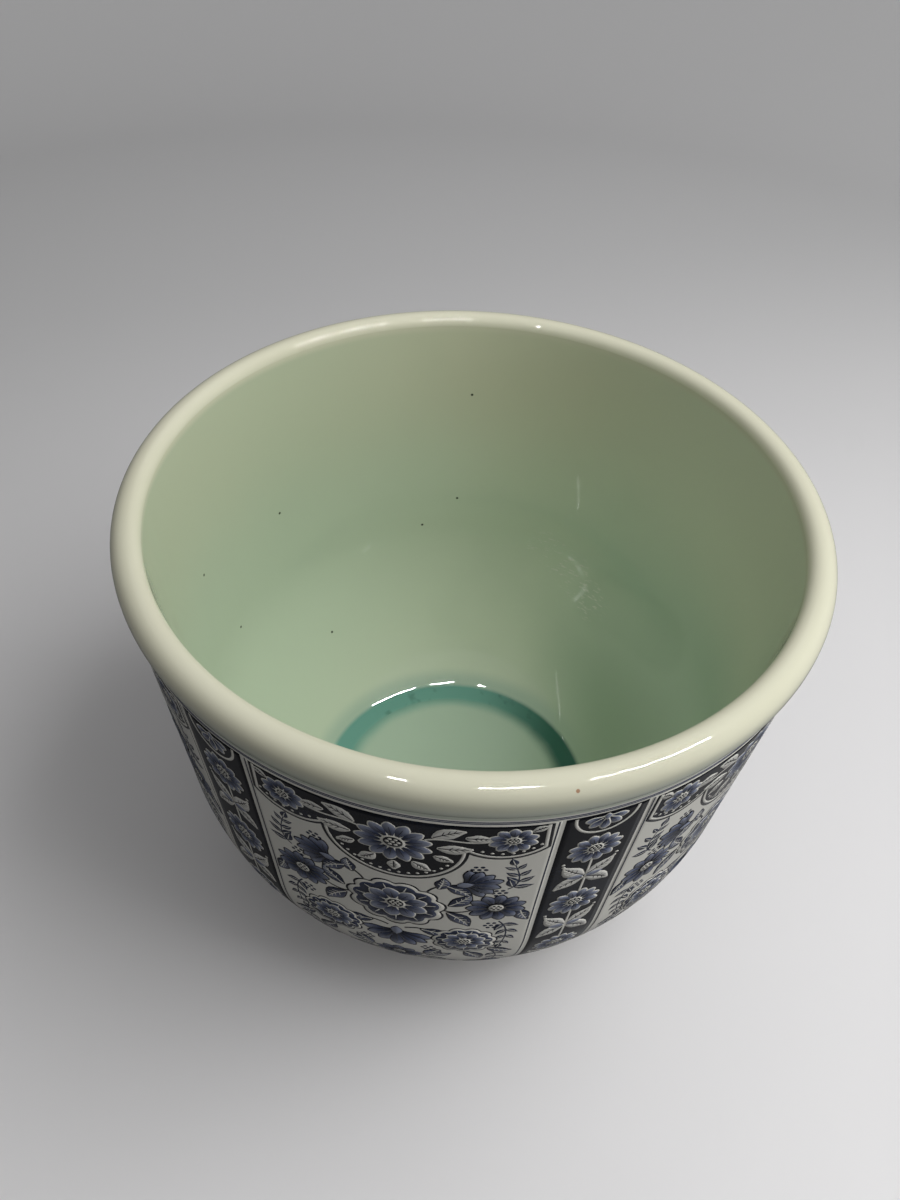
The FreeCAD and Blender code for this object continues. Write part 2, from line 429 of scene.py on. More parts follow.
class Graph:
    """One material's nodes, ending in a Principled shader."""

    def __init__(self, name: str) -> None:
        self.material = bpy.data.materials.new(name)
        self.material.use_nodes = True
        self.tree = self.material.node_tree
        self.tree.nodes.clear()
        self.shader = self.node("ShaderNodeBsdfPrincipled")
        output = self.node("ShaderNodeOutputMaterial")
        self.tree.links.new(self.shader.outputs[0], output.inputs["Surface"])

    def node(self, kind: str, settings: dict | None = None, inputs: dict | None = None) -> bpy.types.Node:
        """Adds a node of any type.

        Args:
            kind: the node's type.
            settings: its properties, which are set first. A ramp's stops are given as "stops".
            inputs: values or links of its sockets, by name or number.

        Returns:
            The node.
        """
        made = self.tree.nodes.new(kind)
        for name, setting in (settings or {}).items():
            if name == "stops":
                self._set_stops(made.color_ramp, setting)
            else:
                setattr(made, name, setting)
        self.feed(made, inputs or {})
        return made

    def feed(self, node: bpy.types.Node, inputs: dict) -> None:
        """Sets or links sockets of a node."""
        for name, source in inputs.items():
            socket = node.inputs[name]
            if isinstance(source, Value):
                self.tree.links.new(source.socket, socket)
            elif isinstance(source, tuple) and socket.type == "RGBA":
                socket.default_value = (*source, 1.0)
            else:
                socket.default_value = source

    @staticmethod
    def _set_stops(ramp: bpy.types.ColorRamp, stops: Sequence[tuple[float, Colour]]) -> None:
        """Gives a ramp its stops, in order."""
        while len(ramp.elements) < len(stops):
            ramp.elements.new(1.0)
        for element, (place, colour) in zip(ramp.elements, stops):
            element.position = place
            element.color = (*colour, 1.0)

    def value(
        self, kind: str, settings: dict | None = None, inputs: dict | None = None, output: int | str = 0
    ) -> Value:
        """Adds a node and returns one of its outputs."""
        return Value(self, self.node(kind, settings, inputs).outputs[output])

    def place(self) -> Value:
        """Object coordinates, in metres."""
        return self.value("ShaderNodeTexCoord", output="Object")

    def parts(self, vector: Value) -> tuple[Value, Value, Value]:
        """The three numbers of a vector."""
        split = self.node("ShaderNodeSeparateXYZ", inputs={0: vector})
        return tuple(Value(self, socket) for socket in split.outputs)

    def scaled(self, vector: Value, by: Place) -> Value:
        """A vector stretched along its axes."""
        return self.value("ShaderNodeVectorMath", {"operation": "MULTIPLY"}, {0: vector, 1: by})

    def noise(self, vector: Value, scale: float, detail: float = 3.0, rough: float = 0.5) -> Value:
        """Cloudy noise from 0 to 1."""
        inputs = {"Vector": vector, "Scale": scale, "Detail": detail, "Roughness": rough}
        return self.value("ShaderNodeTexNoise", None, inputs)

    def mix(self, share: Value | float, first: Value | Colour, second: Value | Colour) -> Value:
        """Colour between two others."""
        return self.value("ShaderNodeMix", {"data_type": "RGBA"}, {0: share, 6: first, 7: second}, 2)

    def near(self, vector: Value, spots: Sequence[Place], reach: float) -> Value:
        """Soft mask about places in millimetres: 1 close to any of them, falling to 0 at the reach."""
        total: Value | float = 0.0
        for spot in spots:
            at = tuple(part * MM for part in spot)
            ends = {0: vector, 1: at}
            apart = self.value("ShaderNodeVectorMath", {"operation": "DISTANCE"}, ends, "Value")
            total = apart.ease(reach, reach * SPOT_CORE) + total
        return total.ease(0.0, 1.0)

    def specks(self, vector: Value, cells: float, size: float, share: float) -> Value:
        """Round specks of a size in a share of the cells of a random pattern, as a mask.

        Args:
            vector: where the pattern lies.
            cells: cells to a metre.
            size: radius of a speck, as a share of a cell.
            share: share of the cells that hold one.

        Returns:
            1 in a speck, falling to 0 at its edge.
        """
        cell = self.node("ShaderNodeTexVoronoi", None, {"Vector": vector, "Scale": cells})
        near = Value(self, cell.outputs["Distance"]).ease(size, size * SPECK_CORE)
        chosen = self.parts(Value(self, cell.outputs["Color"]))[0].above(1 - share)
        return near * chosen

    def finish(
        self, colour: Value | Colour, roughness: Value | float, bump: Value | None = None, depth: float = 0.0
    ) -> None:
        """Feeds the shader's colour, roughness and bump.

        Args:
            colour: the surface's colour.
            roughness: its roughness.
            bump: height of its relief, from 0 to 1, or none.
            depth: height of that relief in metres.
        """
        self.feed(self.shader, {"Base Color": colour, "Roughness": roughness})
        if bump is not None:
            normal = self.value("ShaderNodeBump", None, {"Strength": 1.0, "Distance": depth, "Height": bump})
            self.feed(self.shader, {"Normal": normal})

    def finish_glaze(self, colour: Value, ripples: float, worn: Value | float = 0.0) -> bpy.types.Material:
        """Feeds the shader as a glossy glaze whose surface waves a little.

        Args:
            colour: the glaze's colour.
            ripples: waves to a metre, about.
            worn: roughness that wear adds.

        Returns:
            The finished material.
        """
        waves = self.noise(self.place(), ripples, 2.0)
        self.finish(colour, waves * GLAZE_ROUGHNESS + GLAZE_ROUGHNESS + worn, waves, GLAZE_WAVE)
        return self.material


@dataclass(frozen=True)
class PooledTint:
    """Teal that the inner glaze takes where it has run together round the floor."""

    teal: Colour = (0.138, 0.325, 0.270)
    # Darker teal to the right: painted shadow of the right wall over the ring.
    thick_glaze_and_painted_shade: Colour = (0.026, 0.110, 0.076)
    painted_shade_from: float = -5 * MM
    painted_shade_to: float = 48 * MM
    soft_start: float = 46.0 * MM
    soft_end: float = 55.5 * MM
    edge_start: float = 61.2 * MM
    edge_end: float = 63.9 * MM
    below: float = 19 * MM
    fade: float = 2 * MM
    wander: float = 2.4 * MM
    edge_wander: float = 0.72 * MM

    def share(self, graph: Graph) -> Value:
        """How teal a place is: a soft rise towards the groove and a sharp fall at its outer edge."""
        x, y, z = graph.parts(graph.place())
        out = (x * x + y * y) ** 0.5
        uneven = graph.noise(graph.place(), 70.0) - 0.5
        near = (out + uneven * self.wander).ease(self.soft_start, self.soft_end)
        far = (out + uneven * self.edge_wander).ease(self.edge_end, self.edge_start)
        return near * far * z.ease(self.below + self.fade, self.below)

    def colour(self, graph: Graph) -> Value:
        """Teal, deeper on the right as painted shadow."""
        across = graph.parts(graph.place())[0]
        return graph.mix(across.ease(self.painted_shade_from, self.painted_shade_to), self.teal, self.thick_glaze_and_painted_shade)


@dataclass(frozen=True)
class Tinge:
    """A tint that comes in across the pot, up it, or both, between two places in millimetres."""

    tint: Colour
    strength: float
    across: Point | None = None
    up: Point | None = None

    def over(self, graph: Graph, colour: Value) -> Value:
        """Returns a colour with the tint laid over it."""
        x, _, z = graph.parts(graph.place())
        share: Value | float = self.strength
        for part, limits in ((x, self.across), (z, self.up)):
            if limits:
                share = part.ease(limits[0] * MM, limits[1] * MM) * share
        return graph.mix(share, colour, self.tint)


@dataclass(frozen=True)
class GreenGlaze:
    """Pale green inner glaze: yellower and paler at the rim, greener where it lies thicker, with painted
    shade and painted light laid across its walls.
    """

    name: str = "green_glaze"
    cream: Colour = (0.640, 0.630, 0.480)
    pale: Colour = (0.585, 0.600, 0.435)
    green: Colour = (0.565, 0.640, 0.480)
    deep: Colour = DEEP_GREEN
    scuff_and_highlight: Colour = (0.690, 0.710, 0.610)
    speck: Colour = (0.05, 0.06, 0.04)
    tinges: tuple[Tinge, ...] = (
        Tinge(FLOOR_GREEN, 1.0, up=(22, 17)),
        # Painted shade: a cooler, darker green over the shaded right wall, strongest lower down.
        Tinge((0.430, 0.585, 0.475), 0.55, across=(10, 105), up=(192, 85)),
        # Painted shadow: deep green low on the right, where the right wall shades the inside.
        Tinge(DEEP_GREEN, 0.95, across=(10, 70), up=(75, 25)),
        # Painted light: a paler green that lifts the upper right wall out of its shade.
        Tinge((0.670, 0.720, 0.555), 0.75, across=(20, 100), up=(90, 150)),
        # Painted shade: a deeper green that dims the brightly lit left wall.
        Tinge(DEEP_GREEN, 0.36, across=(-20, -105)),
    )
    pool: PooledTint = PooledTint()
    cream_start: float = 190.5 * MM
    cream_end: float = 194.2 * MM
    cream_wander: float = 2 * MM
    pale_from: float = 192 * MM
    green_from: float = 85 * MM
    pins: tuple[Place, ...] = (
        (-24.7, 106.6, 103.3),
        (-75.4, 54.5, 47.0),
        (-112.2, 0.0, 129.8),
        (-97.4, 53.9, 121.7),
        (-105.9, 15.3, 83.6),
        (-40.4, 99.8, 88.0),
        (-21.9, 113.5, 160.4),
    )
    pin_reach: float = 0.9 * MM
    # Pale scratched patches on the right wall: partly real scratches, partly a painted highlight.
    scuff_and_highlight_spots: tuple[Place, ...] = ((24.0, 104.0, 81.5), (39.0, 98.0, 75.0), (48.0, 90.5, 66.5))
    scuff_and_highlight_reach: float = 15 * MM
    smears: tuple[Place, ...] = ((56.0, 87.0, 69.5), (73.7, 74.3, 73.2), (85.0, 62.5, 77.0))
    smear_reach: float = 24 * MM

    def material(self) -> bpy.types.Material:
        """Returns the material, with runs, cloudy thickness, wear with a painted highlight, painted shade
        and light on the walls, pin specks and the teal ring.
        """
        graph = Graph(self.name)
        place = graph.place()
        height = graph.parts(place)[2]
        runs = graph.noise(graph.scaled(place, (26.0, 26.0, 5.0)), 1.0, 4.0)
        cloud = graph.noise(place, 11.0, 3.0)
        thick_glaze_and_painted_shade = height.ease(self.pale_from, self.green_from) + (runs - 0.5) * 0.25 + (cloud - 0.5) * 0.25
        colour = graph.mix(thick_glaze_and_painted_shade.ease(0.0, 1.0), self.pale, self.green)
        for tinge in self.tinges:
            colour = tinge.over(graph, colour)
        colour = graph.mix(cloud.ease(0.58, 0.80) * 0.15, colour, self.deep)
        smeared = graph.near(place, self.smears, self.smear_reach) * (runs * 0.3 + 0.05)
        colour = graph.mix(smeared, colour, self.deep)
        worn = self._scratches_and_highlight(graph)
        # Pale colour in the scratches: partly wear, partly a painted highlight; the mask also roughens the
        # glaze.
        colour = graph.mix(worn * 0.85, colour, self.scuff_and_highlight)
        rim_height = height + (cloud - 0.5) * self.cream_wander
        colour = graph.mix(rim_height.ease(self.cream_start, self.cream_end), colour, self.cream)
        # The teal ring, darker to the right as painted shadow.
        colour = graph.mix(self.pool.share(graph), colour, self.pool.colour(graph))
        colour = graph.mix(graph.specks(place, 42.0, 0.024, 0.06), colour, self.speck)
        colour = graph.mix(graph.near(place, self.pins, self.pin_reach), colour, self.speck)
        return graph.finish_glaze(colour, 60.0, worn * 0.2)

    def _scratches_and_highlight(self, graph: Graph) -> Value:
        """Fine scratches about each pale patch, as a mask, whose pale colour is partly a painted highlight.
        """
        place = graph.place()
        lines = graph.noise(graph.scaled(place, (240.0, 240.0, 900.0)), 1.0, 3.0, 0.6)
        return graph.near(place, self.scuff_and_highlight_spots, self.scuff_and_highlight_reach) * lines.ease(0.55, 0.66)


@dataclass(frozen=True)
class TealGlaze:
    """Glaze that has pooled: deep teal, with darker marks where it holds more colour."""

    name: str = "teal_glaze"
    floor: Colour = FLOOR_GREEN
    mark: Colour = (0.030, 0.090, 0.075)
    pool: PooledTint = PooledTint()

    def material(self) -> bpy.types.Material:
        """Returns the material."""
        graph = Graph(self.name)
        place = graph.place()
        # The pooled teal, darker to the right as painted shadow.
        colour = graph.mix(self.pool.share(graph), self.floor, self.pool.colour(graph))
        marks = graph.noise(place, 150.0, 2.0).ease(0.58, 0.78)
        colour = graph.mix(marks * 0.45, colour, self.mark)
        return graph.finish_glaze(colour, 90.0)


@dataclass(frozen=True)
class WhiteGlaze:
    """Off-white glaze, with faint clouds, pinholes and iron specks, and, where a colour is given, a painted
    shade that turns it greener and darker lower down.
    """

    name: str
    white: Colour
    shade: Colour
    iron: Colour = (0.36, 0.15, 0.06)
    pin: Colour = (0.20, 0.18, 0.14)
    spots: tuple[Place, ...] = ()
    spot_reach: float = 0.9 * MM
    # Painted shade: a greener, darker colour laid down the rim's flank.
    thick_glaze_and_painted_shade: Colour | None = None
    painted_shade_from: float = 195 * MM
    painted_shade_to: float = 184 * MM
    painted_shade_wander: float = 4 * MM

    def material(self) -> bpy.types.Material:
        """Returns the material, with an iron spot at each place that is given."""
        graph = Graph(self.name)
        place = graph.place()
        cloud = graph.noise(place, 16.0, 4.0)
        colour = graph.mix(cloud.ease(0.35, 0.75), self.white, self.shade)
        # Painted shade, greener and darker towards the bottom of the rim.
        if self.thick_glaze_and_painted_shade:
            height = graph.parts(place)[2] + (cloud - 0.5) * self.painted_shade_wander
            colour = graph.mix(height.ease(self.painted_shade_from, self.painted_shade_to), colour, self.thick_glaze_and_painted_shade)
        colour = graph.mix(graph.specks(place, 55.0, 0.030, 0.05) * 0.7, colour, self.pin)
        iron = graph.specks(place, 31.0, 0.024, 0.02)
        if self.spots:
            iron = iron + graph.near(place, self.spots, self.spot_reach)
        colour = graph.mix(iron.ease(0.0, 1.0) * 0.8, colour, self.iron)
        return graph.finish_glaze(colour, 55.0)


@dataclass(frozen=True)
class BareClay:
    """Fired buff clay where the glaze was wiped off."""

    name: str = "clay"
    buff: Colour = (0.560, 0.440, 0.300)
    dark: Colour = (0.330, 0.240, 0.150)
    grain_height: float = 0.08 * MM

    def material(self) -> bpy.types.Material:
        """Returns the material, with grain, grog and a dusty roughness."""
        graph = Graph(self.name)
        place = graph.place()
        grain = graph.noise(place, 900.0, 4.0, 0.7)
        cloud = graph.noise(place, 30.0, 3.0)
        colour = graph.mix(cloud.ease(0.3, 0.8) * 0.5, self.buff, self.dark)
        colour = graph.mix(grain.ease(0.62, 0.78) * 0.6, colour, self.dark)
        graph.finish(colour, grain * 0.2 + 0.72, grain, self.grain_height)
        return graph.material


@dataclass(frozen=True)
class PrintedInk:
    """Blue print under the clear coat: a tone from bare white to blue-black, a little uneven."""

    name: str
    bare: Colour = BARE_WHITE
    mist: Colour = (0.285, 0.315, 0.405)
    cobalt: Colour = (0.058, 0.071, 0.122)
    navy: Colour = (0.0080, 0.0086, 0.0115)
    roughness: float = 0.11
    gloss: float = 0.05

    def material(self) -> bpy.types.Material:
        """Returns the material, which takes its tone from the marks."""
        graph = Graph(self.name)
        place = graph.place()
        tone = graph.value("ShaderNodeAttribute", {"attribute_name": TONE}, None, "Fac")
        cloud = graph.noise(place, 45.0, 3.0)
        grain = graph.noise(place, 1500.0, 2.0)
        charge = tone * ((cloud - 0.5) * 0.22 + (grain - 0.5) * 0.18 + 1.0)
        stops = [(0.0, self.bare), (0.36, self.mist), (0.70, self.cobalt), (1.0, self.navy)]
        colour = graph.value("ShaderNodeValToRGB", {"stops": stops}, {"Fac": charge})
        graph.finish(colour, self.roughness)
        graph.feed(graph.shader, {"Specular IOR Level": self.gloss})
        return graph.material


class Ink(float, Enum):
    """Tone of a mark, from bare glaze to a full charge of colour."""

    BARE = 0.0
    LIGHT = 0.30
    WASH = 0.42
    COBALT = 0.70
    DEEP = 0.85
    NAVY = 1.0


def mark_tone(mesh: bpy.types.Mesh, tone: np.ndarray) -> None:
    """Stores the tone of each corner on a mesh."""
    mesh.attributes.new(TONE, "FLOAT", "POINT").data.foreach_set("value", tone.astype(np.float32))


# Marks of a printed sheet

Shade = Callable[[np.ndarray, np.ndarray], np.ndarray]
Controls = Sequence[Point]
STEP = 2.2  # longest side of a mark's faces, in millimetres, so that marks follow the wall
OUTLINE = 0.45  # width of a drawn outline, in millimetres
VEIN = 0.4  # width of a side vein, in millimetres
RIB = 0.55  # width of a midrib, in millimetres
STEM = 0.9  # width of a drawn stem, in millimetres
DOT = 0.8  # radius of a dot in a group, in millimetres
THINNEST = 0.03  # least half width of a mark, in millimetres
MARGIN = 0.4  # from a side line's ends to the sheet's, in millimetres


class Swell(Enum):
    """How a blade swells: a power that sets where it is widest, and one that sets how blunt it is."""

    LEAF = (0.85, 1.05)
    PETAL = (1.6, 0.7)
    DROP = (2.2, 0.75)


class Ground(Enum):
    """What a motif is printed on."""

    PALE = "pale"
    DARK = "dark"


@dataclass(frozen=True)
class Palette:
    """Tones that a motif takes on one ground."""

    line: float
    base: float
    tip: float
    vein: float
    heart: float


PALETTES = {
    Ground.PALE: Palette(Ink.NAVY, Ink.NAVY, Ink.WASH, Ink.NAVY, Ink.BARE),
    Ground.DARK: Palette(Ink.BARE, Ink.NAVY, Ink.LIGHT, Ink.NAVY, Ink.NAVY),
}


@dataclass(frozen=True)
class Patch:
    """A mark: a grid of places on the sheet, the tone at each, and how many marks lie under it."""

    places: np.ndarray
    tone: np.ndarray
    level: int = 0
    looped: bool = False

    def stamped(self, at: Point, turn: float, size: float, flip: bool, level: int) -> "Patch":
        """Returns the mark scaled, turned and moved, or the mirror image of that about the middle line."""
        cos, sin = size * math.cos(turn), size * math.sin(turn)
        places = self.places @ np.array([[cos, sin], [-sin, cos]]) + np.asarray(at)
        mirror = np.array([-1.0 if flip else 1.0, 1.0])
        return Patch(places * mirror, self.tone, self.level + level, self.looped)

    def facing_out(self) -> "Patch":
        """Returns the mark with its columns in the order that turns its faces away from the wall."""
        across = np.diff(self.places, axis=1)[:-1]
        down = np.diff(self.places, axis=0)[:, :-1]
        if (across[..., 0] * down[..., 1] - across[..., 1] * down[..., 0]).sum() > 0:
            return Patch(self.places[:, ::-1], self.tone[:, ::-1], self.level, self.looped)
        return self


Marks = list[Patch]


def fade(start: float, end: float, power: float = 1.0, rise: float = 0.0) -> Shade:
    """Makes a tone that goes from one value to another along a mark.

    Args:
        start: tone at the mark's start.
        end: tone at its end.
        power: above 1, the change comes late.
        rise: what is added at the mark's sides, growing with the square of the distance from its middle.

    Returns:
        The tone at shares along and across the mark.
    """

    def shade(along: np.ndarray, across: np.ndarray) -> np.ndarray:
        """Tone at shares along, from 0 to 1, and across, from -1 to 1."""
        return np.clip(start + (end - start) * along**power + rise * across**2, 0.0, 1.0)

    return shade


def toned(tone: Shade | float, along: np.ndarray, across: np.ndarray) -> np.ndarray:
    """Tone of every corner of a grid, from a shade or from one number."""
    along, across = np.broadcast_arrays(along, across)
    return tone(along, across) if callable(tone) else np.full(along.shape, float(tone))


def bezier(controls: Controls, share: np.ndarray) -> np.ndarray:
    """Points of a Bezier curve: its controls times Bernstein's polynomials, summed."""
    order = len(controls) - 1
    weights = [math.comb(order, k) * share**k * (1 - share) ** (order - k) for k in range(order + 1)]
    return np.stack(weights, -1) @ np.asarray(controls, float)


def stretch(controls: Controls, *shares: float) -> Controls:
    """Points of a curve at shares of the way along it, as the controls of another."""
    return [tuple(spot) for spot in bezier(controls, np.array(shares))]


def span(controls: Controls) -> float:
    """Length of the line through a curve's controls."""
    return float(np.linalg.norm(np.diff(np.asarray(controls, float), axis=0), axis=1).sum())


def swept(
    controls: Controls,
    half: Callable[[np.ndarray], np.ndarray],
    tone: Shade | float,
    level: int = 0,
    lane: Point = (-1.0, 1.0),
    overrun: float = 0.0,
) -> Patch:
    """Sweeps a width along a curve.

    Args:
        controls: control points of the curve.
        half: half of the width, from the share of the way along.
        tone: tone of the mark.
        level: marks that lie under it.
        lane: which part of the width is filled, from -1 on the left to 1 on the right.
        overrun: how far the ends go beyond the curve.

    Returns:
        The mark.
    """
    rows = max(9, round(span(controls) / STEP) + 4)
    share = 0.5 - 0.5 * np.cos(math.pi * np.linspace(0, 1, rows))
    middle = bezier(controls, share)
    along = np.gradient(middle, axis=0)
    along /= np.linalg.norm(along, axis=1, keepdims=True)
    middle = middle + along * (overrun * (2 * share - 1) ** 5)[:, None]
    width = np.maximum(half(share), THINNEST)
    cols = max(3, round(2 * float(width.max()) / STEP) + 1)
    side = np.linspace(*lane, cols)[None, :]
    across = np.stack([-along[:, 1], along[:, 0]], -1)
    places = middle[:, None] + across[:, None] * (width[:, None] * side)[..., None]
    return Patch(places, toned(tone, share[:, None], side), level)


def blade(
    controls: Controls,
    width: float,
    swell: Swell,
    tone: Shade | float,
    level: int = 0,
    lane: Point = (-1.0, 1.0),
    grow: float = 0.0,
) -> Patch:
    """A leaf or petal along a curve: half width = width / 2 * sin(pi * share ** lead) ** blunt."""
    lead, blunt = swell.value

    def half(share: np.ndarray) -> np.ndarray:
        """Half of the blade's width, with its outline's."""
        return width / 2 * np.abs(np.sin(math.pi * share**lead)) ** blunt + grow

    return swept(controls, half, tone, level, lane, grow)


def ribbon(controls: Controls, width: float, tone: Shade | float, level: int = 0, end: float = 1.0) -> Patch:
    """A line along a curve, whose width goes to a share of itself at its end."""
    return swept(controls, lambda share: width / 2 * (1 - (1 - end) * share), tone, level)


def disc(at: Point, radius: float, tone: Shade | float, level: int = 0) -> Patch:
    """A round mark: a square grid pressed to a circle, x = u sqrt(1 - v^2 / 2) and likewise y."""
    cells = max(2, 2 * round(0.75 * radius))
    side = np.linspace(-1, 1, cells + 1)
    v, u = np.meshgrid(side, side, indexing="ij")
    grid = np.stack([u * np.sqrt(1 - v * v / 2), v * np.sqrt(1 - u * u / 2)], -1)
    out = np.linalg.norm(grid, axis=-1)
    return Patch(grid * radius + np.asarray(at), toned(tone, out, np.zeros_like(out)), level)


def ring(
    inner: float, outer: float, tone: Shade | float, level: int = 0, scallops: int = 0, depth: float = 0.15
) -> Patch:
    """A round band about the origin, whose outer edge may be scalloped.

    Args:
        inner: inner radius.
        outer: outer radius, at the tops of the scallops.
        tone: tone of the mark, along from the inner to the outer edge.
        level: marks that lie under it.
        scallops: how many scallops go round.
        depth: depth of the scallops, as a share of the outer radius.

    Returns:
        The mark, looped.
    """
    count = max(24, 10 * scallops, round(2 * math.pi * outer / STEP))
    rows = max(2, round((outer - inner) / STEP) + 1)
    turn = np.linspace(0, 2 * math.pi, count, endpoint=False)[None, :]
    wave = np.abs(np.cos(scallops * (turn - math.pi / 2) / 2)) ** 0.6
    edge = outer * (1 - depth * (1 - wave)) if scallops else outer + 0 * turn
    share = np.linspace(0, 1, rows)[:, None]
    radius = inner + (edge - inner) * share
    places = np.stack([radius * np.cos(turn), radius * np.sin(turn)], -1)
    return Patch(places, toned(tone, share, 2 * wave - 1), level, True)


def spoke(turn: float, start: float, end: float) -> Controls:
    """Straight line outwards from the origin."""
    cos, sin = math.cos(turn), math.sin(turn)
    return [(start * cos, start * sin), (end * cos, end * sin)]


def moved(
    marks: Marks, at: Point = (0.0, 0.0), turn: float = 0.0, size: float = 1.0, level: int = 0
) -> Marks:
    """Copies marks to another place on the sheet."""
    return [mark.stamped(at, turn, size, False, level) for mark in marks]


def mirrored(marks: Marks) -> Marks:
    """Mirror image of marks about the sheet's middle line."""
    return [mark.stamped((0.0, 0.0), 0.0, 1.0, True, 0) for mark in marks]


def beads(path: np.ndarray, gap: float, radius: float, tone: float, level: int) -> Marks:
    """Dots along a path, an even gap apart."""
    walked = np.concatenate([[0], np.cumsum(np.linalg.norm(np.diff(path, axis=0), axis=1))])
    stops = np.linspace(0, walked[-1], max(2, round(walked[-1] / gap)))
    spots = np.stack([np.interp(stops, walked, path[:, k]) for k in range(2)], -1)
    return [disc(tuple(spot), radius, tone, level) for spot in spots]


# Motifs, drawn about the origin and growing to the right


def leaf(length: float, width: float, bend: float, ground: Ground) -> Marks:
    """A leaf with an outline, a lit and a shaded half, a midrib and side veins."""
    ink = PALETTES[ground]
    controls = [(0, 0), (0.35 * length, bend), (0.7 * length, bend), (length, 0)]
    lit, shaded = (Ink.BARE, 0.06) if ground is Ground.DARK else (Ink.WASH, Ink.DEEP)
    vein = Ink.NAVY if ground is Ground.DARK else Ink.BARE
    marks = [
        blade(controls, width, Swell.LEAF, ink.line, 0, grow=OUTLINE),
        blade(controls, width, Swell.LEAF, shaded, 1, (-1.0, 0.0)),
        blade(controls, width, Swell.LEAF, fade(shaded, lit), 1, (0.0, 1.0)),
        ribbon(stretch(controls, 0.0, 0.3, 0.6, 0.9), RIB, vein, 2, 0.5),
    ]
    for share in (0.30, 0.48, 0.66):
        foot = stretch(controls, share)[0]
        for side in (-1, 1):
            tip = (foot[0] + 0.14 * length, foot[1] + side * 0.30 * width * (1.3 - share))
            marks.append(ribbon([foot, tip], VEIN, vein, 2, 0.5))
    return marks


def small_leaf(length: float, width: float, bend: float, tone: float) -> Marks:
    """A plain leaf of one tone, with a bare slit along it."""
    controls = [(0, 0), (0.4 * length, bend), (length, 0)]
    slit = stretch(controls, 0.12, 0.45, 0.8)
    other = Ink.BARE if tone > 0.5 else Ink.COBALT
    return [blade(controls, width, Swell.LEAF, tone, 0), ribbon(slit, 0.38, other, 1, 0.5)]


def rosette(radius: float, count: int, ground: Ground) -> Marks:
    """A round open flower: outlined petals with a vein each, about a dotted heart."""
    ink = PALETTES[ground]
    marks: Marks = []
    for number in range(count):
        turn = 2 * math.pi * (number + 0.5) / count
        width = 4.6 * radius / count
        along = spoke(turn, 0.2 * radius, radius)
        marks += [
            blade(along, width, Swell.PETAL, ink.line, 0, grow=OUTLINE),
            blade(along, width, Swell.PETAL, fade(ink.base, ink.tip), 1),
            ribbon(spoke(turn, 0.3 * radius, 0.78 * radius), VEIN, ink.vein, 2, 0.4),
        ]
    other = Ink.NAVY if ground is Ground.PALE else Ink.BARE
    marks += [disc((0, 0), 0.33 * radius, other, 3), disc((0, 0), 0.26 * radius, ink.heart, 4)]
    circle = np.array([spoke(2 * math.pi * k / 6, 0.15 * radius, radius)[0] for k in range(6)])
    return marks + [disc(tuple(spot), 0.055 * radius, other, 5) for spot in (*circle, (0, 0))]


def peony(radius: float, scallops: int = 11) -> Marks:
    """A full flower on a pale ground: a dark scalloped row of petals in a bare one, round a rosette."""
    marks: Marks = []
    rows = (
        (1.00, 0.50, Ink.NAVY),
        (0.95, 0.50, Ink.BARE),
        (0.85, 0.40, fade(Ink.NAVY, Ink.COBALT, 2.0)),
    )
    for level, (outer, inner, tone) in enumerate(rows):
        marks.append(ring(inner * radius, outer * radius, tone, level, scallops, 0.15))
    for petal in range(scallops):
        turn = math.pi / 2 + 2 * math.pi * petal / scallops
        marks.append(ribbon(spoke(turn, 0.60 * radius, 0.79 * radius), RIB, Ink.BARE, 3, 0.4))
    return marks + moved(rosette(0.62 * radius, 9, Ground.DARK), level=4)


def fan(count: int, spread: float, length: float, width: float, ground: Ground) -> Marks:
    """Petals that fan out to the right from a cup, the middle one longest and on top."""
    ink = PALETTES[ground]
    marks: Marks = []
    turns = np.linspace(-spread, spread, count)
    for turn in sorted(turns, key=abs, reverse=True):
        rank = count - round(abs(turn) / max(spread, 1e-6) * (count - 1) / 2)
        reach = length * (1 - 0.28 * abs(turn) / spread)
        bow = 0.16 * reach * math.sin(turn)
        inner = spoke(turn * 0.55, 0.0, 0.55 * reach)
        controls = [inner[0], inner[1], (reach * math.cos(turn), reach * math.sin(turn) + bow)]
        marks += [
            blade(controls, width, Swell.DROP, ink.line, rank, grow=OUTLINE),
            blade(controls, width, Swell.DROP, fade(ink.base, ink.tip, 1.4), rank + 1),
            ribbon(stretch(controls, 0.25, 0.5, 0.8), VEIN, ink.vein, rank + 2, 0.5),
        ]
    cup = [(-0.10 * length, 0), (0.32 * length, 0)]
    marks.append(blade(cup, 0.26 * length, Swell.LEAF, ink.line, count + 3, grow=0.2))
    return marks + [blade(cup, 0.26 * length, Swell.LEAF, Ink.WASH, count + 4)]


def sprig(controls: Controls, pairs: int, length: float, width: float, tone: float) -> Marks:
    """A stem with pairs of plain leaves that shrink towards a bud at its end."""
    marks = [ribbon(controls, 0.7, tone, 0, 0.6)]
    shares = np.linspace(0.14, 0.86, pairs)
    spots = bezier(controls, shares)
    ahead = bezier(controls, shares + 0.02) - spots
    for share, spot, step in zip(shares, spots, ahead):
        heading = math.atan2(step[1], step[0])
        size = 1.1 - 0.45 * share
        for side in (-1, 1):
            pair = small_leaf(length, width, side * 0.1 * length, tone)
            marks += moved(pair, tuple(spot), heading + side * 0.85, size, 1)
    end = bezier(controls, np.array([0.97, 1.0]))
    heading = math.atan2(*(end[1] - end[0])[::-1])
    return marks + moved(small_leaf(length * 0.8, width, 0.0, tone), tuple(end[1]), heading, 1.0, 1)


def dot_group(radius: float, tone: float) -> Marks:
    """Seven dots, close together."""
    around = [spoke(k * math.pi / 3, 2.7 * radius, 0.0)[0] for k in range(6)]
    return [disc(spot, radius, tone, 0) for spot in (*around, (0.0, 0.0))]


# Sheets on the wall


